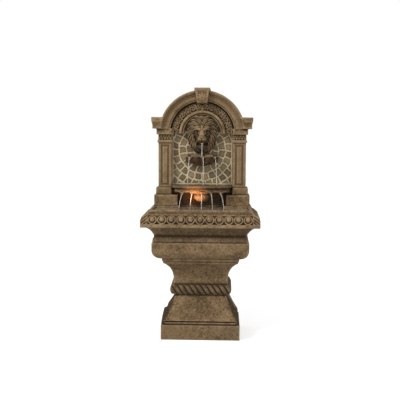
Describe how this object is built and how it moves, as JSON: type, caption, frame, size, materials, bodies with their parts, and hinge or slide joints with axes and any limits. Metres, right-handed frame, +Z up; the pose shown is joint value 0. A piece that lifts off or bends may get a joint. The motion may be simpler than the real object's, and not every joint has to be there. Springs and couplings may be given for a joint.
{
  "type": "floor fountain",
  "caption": "Free-standing floor fountain: moulded pedestal and basin, arched backsplash with lion mask spout, shell cup, spill bowl, pump and lamp.",
  "frame": {"origin": "middle of the footprint of the whole fountain, on the floor", "axes": "+Z up, front faces -Y, +X to the right of a viewer in front"},
  "size_m": [0.5968, 0.3938, 1.2954],
  "materials": {
    "cast_stone": "matte",
    "mosaic_stone": "matte",
    "brass": "satin",
    "black_rubber": "matte",
    "clear_vinyl": "gloss",
    "bright_steel": "satin",
    "grey_plastic": "satin",
    "black_plastic": "satin",
    "white_ceramic": "polished",
    "amber_glass": "gloss",
    "lamp_emitters": "satin"
  },
  "bodies": {
    "fountain": {"backsplash": "cast_stone", "backsplash_bolts": "bright_steel", "basin": "cast_stone", "bolt_washers": "bright_steel", "bowl_screws": "bright_steel", "cup_screws": "bright_steel", "delivery_hose": "clear_vinyl", "hose_clamps": "bright_steel", "hose_clips": "grey_plastic", "lamp_yoke": "bright_steel", "lion_mask": "cast_stone", "mosaic_panel": "mosaic_stone", "pedestal": "cast_stone", "pump_bushes": "black_rubber", "pump_cord_gland": "black_rubber", "pump_feet": "black_rubber", "pump_housing": "black_plastic", "pump_seal": "black_rubber", "pump_shaft": "white_ceramic", "pump_volute": "black_plastic", "shell_cup": "cast_stone", "spill_bowl": "cast_stone", "spout_elbow": "brass", "spout_nut": "brass", "spout_pipe": "brass", "spout_washer": "black_rubber", "wing_nuts": "bright_steel", "yoke_screws": "bright_steel"},
    "impeller": {"impeller": "grey_plastic"},
    "flow_dial": {"flow_dial": "grey_plastic"},
    "strainer": {"pump_strainer": "black_plastic"},
    "lamp_head": {"lamp_body": "black_plastic", "lamp_board": "lamp_emitters", "lamp_seal": "black_rubber", "lamp_lens": "amber_glass", "lamp_bezel": "black_plastic", "lamp_cord_gland": "black_rubber", "lamp_pivot_screws": "bright_steel"},
    "cord_stopper": {"cord_stopper": "black_rubber"}
  },
  "joints": [
    {"name": "impeller_spin", "type": "hinge", "parent": "fountain", "child": "impeller", "pos_m": [0, 0.06585, 0.473], "axis": [0, 1, 0], "continuous": true},
    {"name": "flow_dial_turn", "type": "hinge", "parent": "fountain", "child": "flow_dial", "pos_m": [0, 0.05535, 0.473], "axis": [0, 1, 0], "range_deg": [0, 45]},
    {"name": "strainer_pull", "type": "slide", "parent": "fountain", "child": "strainer", "axis": [0, -1, 0], "range_m": [0, 0.035]},
    {"name": "lamp_tilt", "type": "hinge", "parent": "fountain", "child": "lamp_head", "pos_m": [-0.07, 0.07985, 0.63], "axis": [0, 1, 0], "range_deg": [-35, 35]},
    {"name": "stopper_lift", "type": "slide", "parent": "fountain", "child": "cord_stopper", "axis": [0, 0, 1], "range_m": [0, 0.06]}
  ]
}
